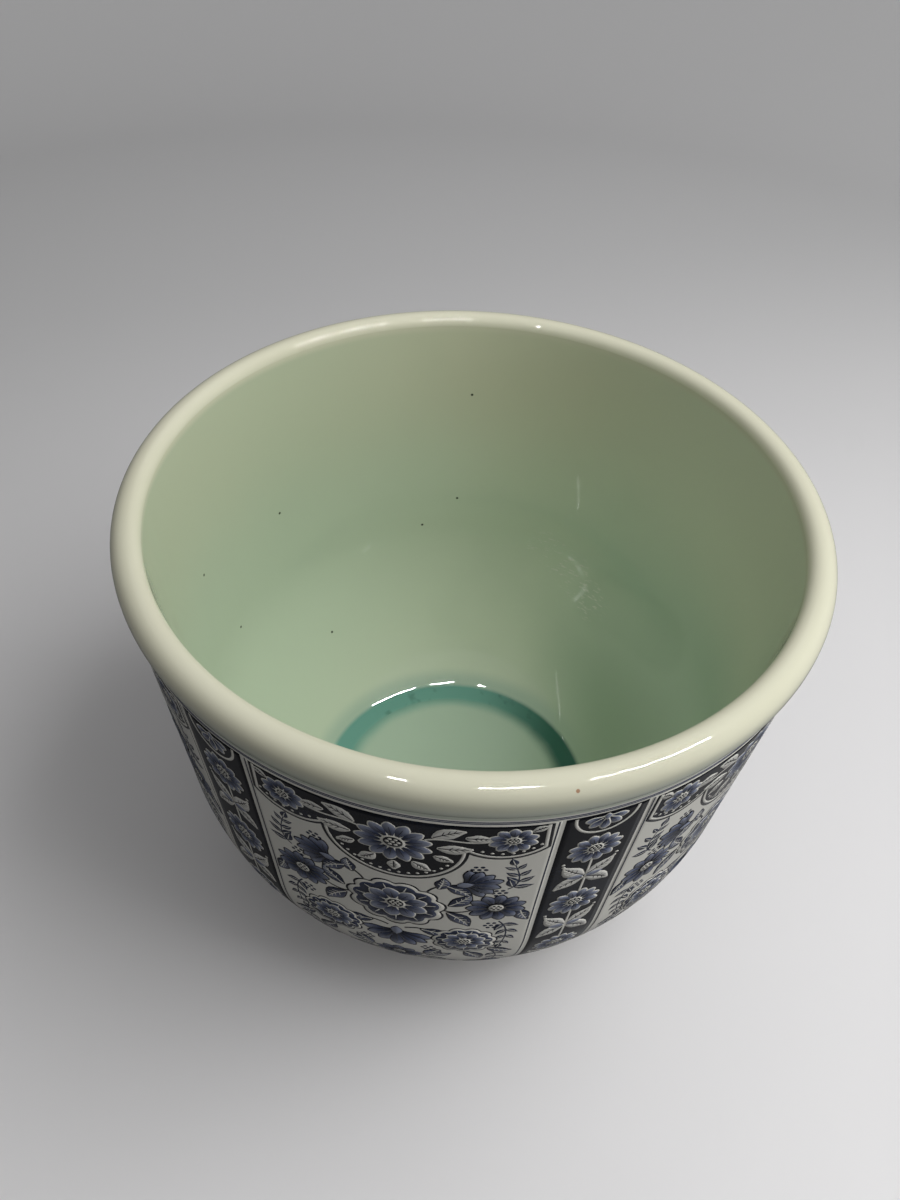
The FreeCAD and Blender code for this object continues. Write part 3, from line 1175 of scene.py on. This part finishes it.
@dataclass(frozen=True)
class Sheet:
    """Area of a printed sheet on the outer wall, and how a drawing is bent on to it."""

    form: PotForm
    sweep: float
    drop: float = 3.2 * MM
    foot: float = 22 * MM
    lift: float = 0.03 * MM
    level_lift: float = 0.011 * MM
    bedding: float = 0.02 * MM
    stagger: float = 0.0005 * MM
    stagger_steps: int = 16

    @property
    def start(self) -> float:
        """Distance down the wall from the neck to the sheet's top."""
        return self.drop / math.cos(self.form.lean)

    @cached_property
    def length(self) -> float:
        """Height of the sheet, along the wall, in millimetres."""
        return (self.form.run_to(self.foot) - self.start) / MM

    def radius(self, y: np.ndarray) -> np.ndarray:
        """Radius of the coat at distances down the sheet."""
        return self.form.on_wall(self.start + y * MM, self.form.coat)[0]

    def half_width(self, y: np.ndarray) -> np.ndarray:
        """Half of the sheet's width at distances down it."""
        return self.sweep / 2 * self.radius(y) / MM

    def ground(self, tone: float) -> Patch:
        """The whole sheet, in one tone."""
        y = np.linspace(0, self.length, round(self.length / STEP))[:, None]
        side = np.linspace(-1, 1, 2 * round(self.half_width(np.zeros(1))[0] / STEP) + 1)[None, :]
        places = np.stack(np.broadcast_arrays(side * self.half_width(y), y), -1)
        return Patch(places, np.full(places.shape[:2], float(tone)))

    def side_line(self, inset: float, width: float, tone: float, level: int) -> Marks:
        """A line down each side of the sheet, an inset from its edge."""
        y = np.linspace(MARGIN, self.length - MARGIN, round(self.length / STEP))[:, None]
        edge = self.half_width(y) - inset
        places = np.stack(np.broadcast_arrays(edge - np.linspace(0, width, 2)[None, :], y), -1)
        line = Patch(places, np.full(places.shape[:2], float(tone)), level)
        return [line, *mirrored([line])]

    def height_of(self, number: int, level: int) -> float:
        """Height of a mark's top over the coat, a hair apart for marks that follow each other."""
        return self.lift + level * self.level_lift + number % self.stagger_steps * self.stagger

    def bent(self, flat: np.ndarray, raised: np.ndarray, middle: float) -> np.ndarray:
        """Bends flat places on to the wall: x becomes an angle about the axis, and y a run down the wall."""
        radius, height = self.form.on_wall(self.start + flat[:, 1] * MM, self.form.coat + raised)
        turn = middle + flat[:, 0] * MM / self.radius(flat[:, 1])
        return np.stack([radius * np.cos(turn), radius * np.sin(turn), height], -1)


@dataclass(frozen=True)
class Print:
    """A drawing on a sheet, as thin closed slabs."""

    name: str
    sheet: Sheet
    marks: Marks
    map_margin: Point = (0.03, 0.02)
    map_side: float = 0.012

    def build(self, node: str, slot: str, material: bpy.types.Material, first: float, count: int) -> None:
        """Builds one piece to each pitch round the pot.

        Args:
            node: node that the pieces stand for.
            slot: not used.
            material: the ink.
            first: angle of the first sheet's middle about the axis.
            count: how many sheets go round.
        """
        flat, raised, tone, quads, smooth = self._slabs()
        corners = self._tone_map(flat, tone)[quads.ravel()].astype(np.float32)
        for number in range(count):
            middle = first + 2 * math.pi * number / count
            shell = Shell(self.sheet.bent(flat, raised, middle), quads)
            mesh = fill_mesh(f"{self.name}_{number + 1}", shell, smooth)
            mark_tone(mesh, tone)
            mesh.uv_layers.new(name=BAKE_MAP).data.foreach_set("uv", corners.ravel())
            seat(show(mesh, material), node)

    def _tone_map(self, flat: np.ndarray, tone: np.ndarray) -> np.ndarray:
        """UV places that are sorted by tone, with a little of the place across, and by the run down."""
        side = flat[:, 0] / self.sheet.half_width(flat[:, 1])
        down = flat[:, 1] / self.sheet.length
        left, low = self.map_margin
        u = left + (1 - 2 * left) * tone + self.map_side * side
        return np.stack([u, low + (1 - 2 * low) * down], -1)

    def _slabs(self) -> tuple[np.ndarray, np.ndarray, np.ndarray, np.ndarray, np.ndarray]:
        """Flat places, heights, tones, faces and which of the faces are smooth."""
        flats, heights, tones, quads, smooths, base = [], [], [], [], [], 0
        for number, mark in enumerate(mark.facing_out() for mark in self.marks):
            count = mark.tone.size
            top = self.sheet.height_of(number, mark.level)
            low = -self.sheet.bedding if number == 0 else self.sheet.lift - self.sheet.bedding
            flats += [mark.places.reshape(-1, 2)] * 2
            heights += [np.full(count, top), np.full(count, low)]
            tones += [mark.tone.ravel()] * 2
            faces, broad = self._slab_faces(*mark.tone.shape, mark.looped)
            quads.append(faces + base)
            smooths.append(broad)
            base += 2 * count
        return tuple(np.concatenate(parts) for parts in (flats, heights, tones, quads, smooths))

    @staticmethod
    def _slab_faces(rows: int, cols: int, looped: bool) -> tuple[np.ndarray, np.ndarray]:
        """Faces of a slab's top, underside and edges, and which of them are smooth."""
        top = grid_quads(rows, cols, False, looped)
        number = np.arange(rows * cols).reshape(rows, cols)
        first, last = number[0], number[-1, ::-1]
        if looped:
            edges = [np.stack([line, np.roll(line, -1)], -1) for line in (first, last)]
        else:
            loop = np.concatenate([first[:-1], number[:-1, -1], last[:-1], number[:0:-1, 0]])
            edges = [np.stack([loop, np.roll(loop, -1)], -1)]
        edge = np.concatenate(edges)
        under = rows * cols
        walls = np.stack([edge[:, 1], edge[:, 0], edge[:, 0] + under, edge[:, 1] + under], -1)
        faces = np.concatenate([top, top[:, ::-1] + under, walls])
        return faces, np.arange(len(faces)) < 2 * len(top)


@dataclass(frozen=True)
class Lobe:
    """One round of a valance's lower edge, in millimetres."""

    x: float
    y: float
    radius: float
    points: int = 40

    def inside(self, inset: float, start: float, end: float) -> np.ndarray:
        """Arc an inset within the lobe, between two angles in degrees."""
        turns = math.radians(start), math.radians(end)
        return arc((self.x, self.y), self.radius - inset, *turns, self.points)


@dataclass(frozen=True)
class PanelDrawing:
    """A wide panel: a dark lobed valance over a pale field of flowers and leaves."""

    sheet: Sheet
    middle_lobe: Lobe = Lobe(0.0, 18.0, 24.0)
    side_lobe: Lobe = Lobe(35.0, 4.0, 19.0)
    valance_end: float = 49.3
    valance_top: float = 0.5
    valance_rows: int = 16
    white_line: Point = (1.1, 2.2)
    closing_width: float = 1.2
    bead_inset: float = 3.9
    bead_gap: float = 3.0
    bead_radius: float = 0.62

    def marks(self) -> Marks:
        """All marks, from the ground up."""
        lines = self.sheet.side_line(0.5, 0.55, Ink.DEEP, 1)
        half = self.right_half()
        ground = self.sheet.ground(Ink.BARE)
        return [ground, *lines, *self.valance(), *self.middle(), *half, *mirrored(half)]

    def edge(self, inset: float, count: int = 26) -> np.ndarray:
        """Valance's lower edge, moved in by an inset: three arcs that meet where their circles cross."""
        side, middle = self.side_lobe, self.middle_lobe
        far, near = side.radius - inset, middle.radius - inset
        apart = math.hypot(side.x - middle.x, side.y - middle.y)
        along = (apart**2 + near**2 - far**2) / (2 * apart)
        off = math.sqrt(near**2 - along**2)
        ux, uy = (side.x - middle.x) / apart, (side.y - middle.y) / apart
        cusp = (middle.x + along * ux - off * uy, middle.y + along * uy + off * ux)
        end_x = self.valance_end - inset
        end_turn = math.acos((end_x - side.x) / far)
        cusp_turn = math.atan2(cusp[1] - side.y, cusp[0] - side.x)
        right = arc((side.x, side.y), far, cusp_turn, end_turn, count)
        half_turn = math.atan2(cusp[1] - middle.y, cusp[0] - middle.x)
        centre = arc((middle.x, middle.y), near, math.pi - half_turn, half_turn, 2 * count)
        left = right[::-1] * np.array([-1.0, 1.0])
        return joined(left, centre, right)

    def valance(self) -> Marks:
        """Dark ground of the valance, and the bare line that follows its edge."""
        edge = self.edge(0.0)
        rows = np.linspace(0, 1, self.valance_rows)[:, None]
        top = np.stack([edge[:, 0], np.full(len(edge), self.valance_top)], -1)
        fill = top[None] + (edge - top)[None] * rows[..., None]
        rims = [self.edge(inset) for inset in self.white_line]
        band = np.stack(rims)
        bare = float(Ink.BARE)
        x = self.valance_end - self.white_line[0] - self.closing_width / 2
        closing = ribbon([(x, 1.0), (x, float(rims[0][-1, 1]))], self.closing_width, bare, 2)
        side = [closing, *self.bead_row(self.side_lobe, 42, 118)]
        return [
            Patch(fill, np.full(fill.shape[:2], float(Ink.NAVY)), 1),
            Patch(band, np.full(band.shape[:2], bare), 2),
            *self.bead_row(self.middle_lobe, 22, 158),
            *side,
            *mirrored(side),
        ]

    def bead_row(self, lobe: Lobe, start: float, end: float) -> Marks:
        """Bare dots inside a lobe, between two angles in degrees."""
        path = lobe.inside(self.bead_inset, start, end)
        return beads(path, self.bead_gap, self.bead_radius, float(Ink.BARE), 2)

    def middle(self) -> Marks:
        """Motifs on the panel's middle line."""
        down, up = math.pi / 2, -math.pi / 2
        dark, pale = Ground.DARK, Ground.PALE
        return [
            *moved(rosette(12.4, 13, dark), (0, 17.0), level=2),
            *moved(leaf(5.6, 3.8, 0.0, dark), (0, 30.6), down, level=2),
            *moved(peony(18.0), (0, 63.5), level=2),
            *moved(fan(7, 1.2, 16.0, 4.8, pale), (0, 86), down, level=2),
            *moved(rosette(9.0, 10, pale), (0, 115), level=2),
            *moved(fan(9, 1.2, 25.0, 6.2, pale), (0, 158), up, level=2),
            *moved(dot_group(DOT, Ink.DEEP), (0, 128.5), level=1),
        ]

    def right_half(self) -> Marks:
        """Motifs on the right of the middle line, which are repeated on its left."""
        dark, pale = Ground.DARK, Ground.PALE
        navy, bare = Ink.NAVY, Ink.BARE
        leaves = (
            (11.0, 5.6, -0.9, dark, (12.6, 9.6), -0.50),
            (10.5, 5.4, 0.8, dark, (14.2, 16.6), -0.05),
            (8.0, 4.4, 0.4, dark, (22.8, 8.4), 0.05),
            (7.0, 4.4, 0.5, dark, (6.4, 28.6), 0.72),
            (5.8, 3.6, 0.4, dark, (13.2, 22.6), 0.40),
            (5.0, 2.8, -0.3, dark, (43.0, 4.6), -0.45),
            (8.4, 5.0, 0.8, pale, (14.8, 46.6), -1.40),
            (11.0, 5.6, -1.0, pale, (17.5, 44.0), 0.75),
            (12.0, 6.0, 1.2, pale, (18.5, 60.0), -0.95),
            (13.0, 6.4, -1.2, pale, (18.0, 66.0), 0.95),
            (10.0, 5.2, 1.0, pale, (43.0, 64.0), 1.25),
            (11.0, 5.6, 1.0, pale, (9.0, 83.0), 0.15),
            (12.0, 6.0, 1.0, pale, (15.5, 103.0), 1.95),
            (13.0, 6.4, -1.0, pale, (25.0, 103.5), 1.15),
            (10.0, 5.0, 1.0, pale, (33.5, 99.0), 0.55),
            (11.0, 5.6, 1.0, pale, (9.5, 112.0), -0.45),
            (10.0, 5.2, -1.0, pale, (9.5, 118.0), 0.65),
            (12.0, 5.8, 1.0, pale, (19.0, 133.0), -1.85),
            (12.0, 5.8, -1.0, pale, (17.0, 139.0), 0.55),
            (9.0, 4.6, -1.0, pale, (9.5, 157.5), 0.05),
        )
        stems = (
            ([(10.0, 12.0), (17.0, 8.0), (22.0, 14.0), (32.0, 10.0)], bare, 2),
            ([(11.0, 50.0), (13.0, 45.0), (17.0, 43.0), (22.0, 42.5)], navy, 1),
            ([(16.5, 64.0), (20.0, 66.0), (23.0, 65.0), (26.0, 63.0)], navy, 1),
            ([(3.0, 84.0), (8.0, 81.0), (13.0, 82.0), (17.0, 87.0)], navy, 1),
            ([(8.0, 146.0), (17.0, 142.0), (18.0, 130.0), (27.0, 126.0)], navy, 1),
        )
        spots = ((27.5, 30.5), (35.0, 49.0), (33.5, 76.5), (11.5, 101.5), (33.5, 140.5), (26.0, 149.5))
        sprigs = (
            ([(37.5, 46.0), (42.5, 43.0), (41.0, 35.0), (39.0, 28.0)], 4, 6.8, 3.2),
            ([(36.0, 73.0), (40.5, 80.0), (39.5, 88.0), (37.5, 95.0)], 4, 6.0, 3.0),
            ([(35.0, 104.0), (37.5, 110.0), (36.5, 116.0), (34.0, 121.0)], 3, 5.6, 2.8),
        )
        marks = [ribbon(controls, STEM, tone, level) for controls, tone, level in stems]
        for length, width, bend, ground, at, turn in leaves:
            marks += moved(leaf(length, width, bend, ground), at, turn, level=3)
        for at in spots:
            marks += moved(dot_group(DOT, Ink.DEEP), at, level=1)
        marks += [
            *moved(rosette(7.6, 10, dark), (37.2, 10.2), level=4),
            *moved(fan(7, 1.05, 14.0, 4.0, pale), (22.0, 42.5), -0.25, level=4),
            *moved(rosette(10.2, 11, pale), (34.5, 61.0), level=5),
            *moved(peony(12.2), (24.5, 91.0), level=4),
            *moved(fan(7, 1.05, 12.5, 3.6, pale), (27.0, 126.0), 0.75, level=4),
        ]
        for stem, pairs, length, width in sprigs:
            marks += moved(sprig(stem, pairs, length, width, Ink.DEEP), level=1)
        return marks


@dataclass(frozen=True)
class StripDrawing:
    """A narrow dark strip: flowers and leaves on a stem, below a fan under a bare arch."""

    sheet: Sheet

    def marks(self) -> Marks:
        """All marks, from the ground up."""
        dark, bare = Ground.DARK, Ink.BARE
        down = math.pi / 2
        arch = [(-10.4, 0.8), (-10.4, 16.5), (10.4, 16.5), (10.4, 0.8)]
        marks = [
            self.sheet.ground(Ink.NAVY),
            ribbon(arch, 1.1, bare, 1),
            *moved(fan(5, 1.25, 8.6, 3.2, dark), (0, 1.8), down, level=2),
            ribbon([(0, 18.0), (1.6, 60.0), (-1.6, 110.0), (0, self.sheet.length - 3)], STEM, bare, 1),
        ]
        right: Marks = []
        for y, size in ((24.5, 1.0), (66.0, 1.0), (106.5, 0.92), (143.0, 0.70)):
            marks += moved(rosette(9.2, 12, dark), (0, y), 0.0, size, 6)
            right += moved(leaf(11.5, 6.0, 1.1, dark), (0.6, y + 19.5 * size), -0.80, size, 2)
            right += moved(leaf(11.0, 5.6, -1.1, dark), (0.6, y + 21.5 * size), 0.62, size, 2)
            right += moved(small_leaf(6.0, 3.0, 0.4, Ink.WASH), (0.5, y + 20.5 * size), -0.1, size, 5)
            right += beads(np.array([(9.0 * size, y + 10.5), (9.4 * size, y + 8.5)]), 2.2, 0.7, bare, 2)
        return [*marks, *right, *mirrored(right)]


@dataclass(frozen=True)
class Prints:
    """The printed sheets: wide panels and the narrow strips between them."""

    form: PotForm
    count: int = 6
    strip_width: float = 27.5 * MM
    gutter: float = 1.2 * MM
    front: float = -math.pi / 2

    def build(self) -> None:
        """Builds every sheet."""
        pitch, neck = 2 * math.pi / self.count, self.form.neck[0]
        wide = Sheet(self.form, pitch - (self.strip_width + 2 * self.gutter) / neck)
        narrow = Sheet(self.form, self.strip_width / neck)
        panel_ink = PrintedInk("panel_print").material()
        strip_ink = PrintedInk("strip_print").material()
        panel = Print("panel_sheet", wide, PanelDrawing(wide).marks())
        panel.build("panel_transfers", "panel_print", panel_ink, self.front, self.count)
        strip = Print("strip_sheet", narrow, StripDrawing(narrow).marks())
        strip.build("strip_transfers", "strip_print", strip_ink, self.front + pitch / 2, self.count)


# Clay, coats and lines


class CoatSlot(Enum):
    """Names of the record's material slots, listed beside the turned pieces."""

    CLAY = "clay"
    GREEN = "green_glaze"
    TEAL = "teal_glaze"
    CREAM = "cream_glaze"
    WHITE = "white_glaze"
    LINE = "blue_line"


@dataclass(frozen=True)
class Pottery:
    """The turned pieces: the clay body and the glaze coats that lie on it."""

    form: PotForm
    bedding: float = 0.05 * MM
    meniscus: float = 0.12 * MM
    pool_brim: float = 0.02 * MM
    pool_points: int = 16
    base_points: int = 30
    line_width: float = 0.5 * MM
    line_starts: tuple[float, float] = (0.85 * MM, 1.75 * MM)
    line_lift: tuple[float, float] = (0.02 * MM, 0.07 * MM)
    sharp: float = math.radians(50)
    white: WhiteGlaze = WhiteGlaze("white_glaze", BARE_WHITE, (0.700, 0.690, 0.620))
    cream: WhiteGlaze = WhiteGlaze(
        "cream_glaze",
        (0.700, 0.690, 0.540),
        (0.670, 0.660, 0.510),
        spots=((52.3, -117.5, 195.6),),
        # Painted shade on the rim's lower flank.
        thick_glaze_and_painted_shade=(0.500, 0.550, 0.440),
    )

    def build(self) -> None:
        """Builds every turned piece, each in place of its node."""
        white, cream = self.white.material(), self.cream.material()
        line = PrintedInk("blue_line").material()
        pieces = (
            ("pot_body", CoatSlot.CLAY, BareClay().material(), self.body()),
            ("inner_glaze", CoatSlot.GREEN, GreenGlaze().material(), self.inner_coat()),
            ("glaze_pool", CoatSlot.TEAL, TealGlaze().material(), self.pool()),
            ("rim_glaze", CoatSlot.CREAM, cream, self.rim_coat()),
            ("outer_glaze", CoatSlot.WHITE, white, self.outer_coat()),
            ("base_glaze", CoatSlot.WHITE, white, self.base_coat()),
        )
        for node, slot, material, shell in pieces:
            mesh = fill_mesh(node + "_look", shell)
            mesh.set_sharp_from_angle(angle=self.sharp)
            seat(show(mesh, material), node)
        for number, start in enumerate(self.line_starts, 1):
            mesh = fill_mesh(f"lining_{number}", self.line(start))
            mark_tone(mesh, np.full(len(mesh.vertices), Ink.COBALT.value))
            seat(show(mesh, line), "lining")

    def body(self) -> Shell:
        """Clay of the floor, wall, rim and foot ring."""
        form = self.form
        outside = form.outer_path(0, form.foot_height)
        upper = joined(form.inner_path(0), form.rim_path(0), outside)
        return turned(np.concatenate([upper, form.foot_path()]), False)

    def inner_coat(self) -> Shell:
        """Green coat from the middle of the floor to the lip."""
        over, under = self.form.inner_path(self.form.coat), self.form.inner_path(-self.bedding)
        return turned(np.concatenate([over, under[::-1]]), False)

    def pool(self) -> Shell:
        """Glaze that fills the groove, with a surface that dips a little in the middle."""
        bed = self.form.groove_path(self.form.coat - self.bedding)
        top = np.linspace(bed[-1], bed[0], self.pool_points)
        share = np.linspace(0, 1, len(top))
        top[:, 1] -= self.meniscus * np.sin(math.pi * share) ** 0.7
        top[:, 1] += self.pool_brim
        return turned(np.concatenate([bed, top[1:-1]]), True)

    def rim_coat(self) -> Shell:
        """Cream coat of the rolled rim."""
        over, under = self.form.rim_path(self.form.coat), self.form.rim_path(-self.bedding)
        return turned(np.concatenate([over, under[::-1]]), True)

    def outer_coat(self) -> Shell:
        """White coat from the neck down to the bare clay over the foot."""
        end = self.form.foot_height + self.form.glaze_stop
        over, under = self.form.outer_path(self.form.coat, end), self.form.outer_path(-self.bedding, end)
        return turned(np.concatenate([over, under[::-1]]), True)

    def base_coat(self) -> Shell:
        """White coat in the recess inside the foot ring."""
        radius, top = self.form.recess_radius, self.form.base_recess
        low = top - self.form.coat
        under = np.linspace((0, low), (radius, low), self.base_points)
        return turned(np.concatenate([under, [(radius, top), (0, top)]]), False)

    def line(self, start: float) -> Shell:
        """A thin painted ring, a distance down the wall from the neck."""
        run = np.array([start, start + self.line_width])
        low, high = (self.form.coat + lift for lift in self.line_lift)
        over, under = (np.stack(self.form.on_wall(run, raised), -1) for raised in (high, low - self.bedding))
        return turned(np.concatenate([over, under[::-1]]), True)


# Stage, light and camera


@dataclass(frozen=True)
class Backdrop:
    """Round pale floor that curves up into a wall, with painted shade that greys it towards the back."""

    floor_radius: float = 0.80
    cove: float = 0.38
    top: float = 1.25
    skin: float = 0.02
    tint: Colour = (0.790, 0.782, 0.788)
    worn: Colour = (0.720, 0.712, 0.716)
    # Painted shade: grey laid towards the back and the left.
    far: Colour = (0.600, 0.598, 0.602)
    bounce: Colour = (0.250, 0.248, 0.250)
    far_start: float = 0.05
    far_end: float = 0.60
    far_slant: float = 0.5
    flat_points: int = 20
    cove_points: int = 40
    wall_points: int = 12
    segments: int = 160
    sharp: float = math.radians(40)

    def build(self) -> None:
        """Builds the backdrop, out of the part."""
        quarter = math.pi / 2
        outer = self.floor_radius + self.cove
        cove = arc((self.floor_radius, self.cove), self.cove, -quarter, 0, self.cove_points)
        flat = np.linspace((0, 0), (self.floor_radius, 0), self.flat_points)
        wall = np.linspace((outer, self.cove), (outer, self.top), self.wall_points)
        back = [(outer + self.skin, self.top), (outer + self.skin, -self.skin), (0, -self.skin)]
        shell = turned(np.concatenate([joined(flat, cove, wall), back]), False, self.segments)
        mesh = fill_mesh("backdrop", shell)
        mesh.set_sharp_from_angle(angle=self.sharp)
        show(mesh, self._material())

    def _material(self) -> bpy.types.Material:
        """Painted board with faint scuff marks and painted shade towards the back, which throws little light
        back up.
        """
        graph = Graph("backdrop")
        place = graph.place()
        cloud = graph.noise(place, 3.0, 4.0)
        fine = graph.noise(graph.scaled(place, (40.0, 9.0, 9.0)), 1.0, 5.0, 0.6)
        x, y, _ = graph.parts(place)
        colour = graph.mix(cloud.ease(0.4, 0.8) * 0.4 + fine.ease(0.62, 0.8) * 0.25, self.tint, self.worn)
        # Painted shade: greyer towards the back and the left.
        back = y - x * self.far_slant
        colour = graph.mix(back.ease(self.far_start, self.far_end), colour, self.far)
        seen = graph.value("ShaderNodeLightPath", output="Is Camera Ray")
        colour = graph.mix(seen, self.bounce, colour)
        graph.finish(colour, fine * 0.1 + 0.5)
        return graph.material


@dataclass(frozen=True)
class Lamp:
    """A square lamp that faces a point over the floor. It lights the scene and shows in no glaze."""

    name: str
    at: Place
    size: float
    power: float
    aim: Place = (0.0, 0.0, 0.12)
    spread: float = math.pi

    def build(self) -> None:
        """Adds the lamp to the stage."""
        light = bpy.data.lights.new(self.name, "AREA")
        light.shape, light.size = "SQUARE", self.size
        light.energy, light.spread = self.power, self.spread
        holder = bpy.data.objects.new(self.name, light)
        holder.location = self.at
        holder.visible_glossy = False
        holder.rotation_euler = (Vector(self.aim) - Vector(self.at)).to_track_quat("-Z", "Y").to_euler()
        bpy.context.scene.collection.objects.link(holder)


@dataclass(frozen=True)
class LampStrip:
    """A straight thin lamp that lights nothing, but which the glaze mirrors as a bright line."""

    name: str
    start: Place
    end: Place
    width: float = 0.018
    power_per_metre: float = 16.0
    aim: Place = (0.0, 0.0, 0.12)

    def build(self) -> None:
        """Adds the lamp to the stage, with its length along the line and its face towards the pot."""
        start, end = Vector(self.start), Vector(self.end)
        middle, length = (start + end) / 2, (end - start).length
        light = bpy.data.lights.new(self.name, "AREA")
        light.shape, light.size, light.size_y = "RECTANGLE", length, self.width
        light.energy = self.power_per_metre * length
        along = (end - start).normalized()
        up = (middle - Vector(self.aim)).cross(along).normalized()
        turn = Matrix((along, up, along.cross(up))).transposed().to_4x4()
        holder = bpy.data.objects.new(self.name, light)
        holder.matrix_world = Matrix.Translation(middle) @ turn
        holder.visible_diffuse = False
        bpy.context.scene.collection.objects.link(holder)


SKY_STRENGTH = 0.46
LAMPS = (
    Lamp("key", (0.63, 0.02, 1.04), 0.9, 10.2),
    Lamp("low_side", (0.80, -0.20, 0.22), 0.4, 0.24, (0.0, 0.0, 0.10), math.radians(70)),
    LampStrip("side_strip", (0.50, -0.32, 1.15), (0.78, 0.04, 1.02)),
    LampStrip("front_strip", (0.16, -0.53, 1.16), (0.37, -0.42, 1.16)),
    LampStrip("left_strip", (-0.16, -0.535, 1.16), (-0.09, -0.55, 1.16)),
)


@dataclass(frozen=True)
class PotCamera:
    """Camera in front of the pot, above its rim, that looks down into it."""

    reach: float = 0.3064
    rise: float = 0.2580
    turn: float = math.radians(8.0)
    pitch: float = math.radians(45.64)
    yaw: float = math.radians(-1.375)
    roll: float = math.radians(3.59)
    lens: float = 33.0
    sensor: float = 36.0
    nearest: float = 0.01

    def build(self, crest: float) -> None:
        """Sets the scene's camera.

        Args:
            crest: height of the rim's crest over its glaze.
        """
        right = Vector((math.cos(self.yaw), -math.sin(self.yaw), 0.0))
        level = Vector((math.sin(self.yaw), math.cos(self.yaw), 0.0))
        forward = level * math.cos(self.pitch) - Vector((0.0, 0.0, math.sin(self.pitch)))
        up = right.cross(forward)
        across = right * math.cos(self.roll) + up * math.sin(self.roll)
        upright = up * math.cos(self.roll) - right * math.sin(self.roll)
        pose = Matrix((across, upright, -forward)).transposed().to_4x4()
        pose.translation = (0.0, -self.reach, crest + self.rise)
        data = bpy.data.cameras.new("photo")
        data.sensor_fit, data.sensor_width, data.lens = "AUTO", self.sensor, self.lens
        data.clip_start, data.dof.use_dof = self.nearest, False
        camera = bpy.data.objects.new("photo", data)
        camera.matrix_world = Matrix.Rotation(self.turn, 4, "Z") @ pose
        bpy.context.scene.collection.objects.link(camera)
        bpy.context.scene.camera = camera


def light_world(strength: float) -> None:
    """Gives the scene an even white sky."""
    world = bpy.data.worlds.new("sky")
    bpy.context.scene.world = world
    world.use_nodes = True
    sky = world.node_tree.nodes["Background"]
    sky.inputs["Color"].default_value = (1.0, 1.0, 1.0, 1.0)
    sky.inputs["Strength"].default_value = strength


def main() -> None:
    """Builds the pot, its stage, its light and its camera."""
    logging.basicConfig(level=logging.INFO, format="%(name)s %(message)s")
    form = PotForm.from_frame()
    Pottery(form).build()
    Prints(form).build()
    Backdrop().build()
    for lamp in LAMPS:
        lamp.build()
    light_world(SKY_STRENGTH)
    PotCamera().build(form.crest_height + form.coat)
    bpy.context.scene.view_settings.view_transform = "Standard"


if __name__ == "__main__":
    main()
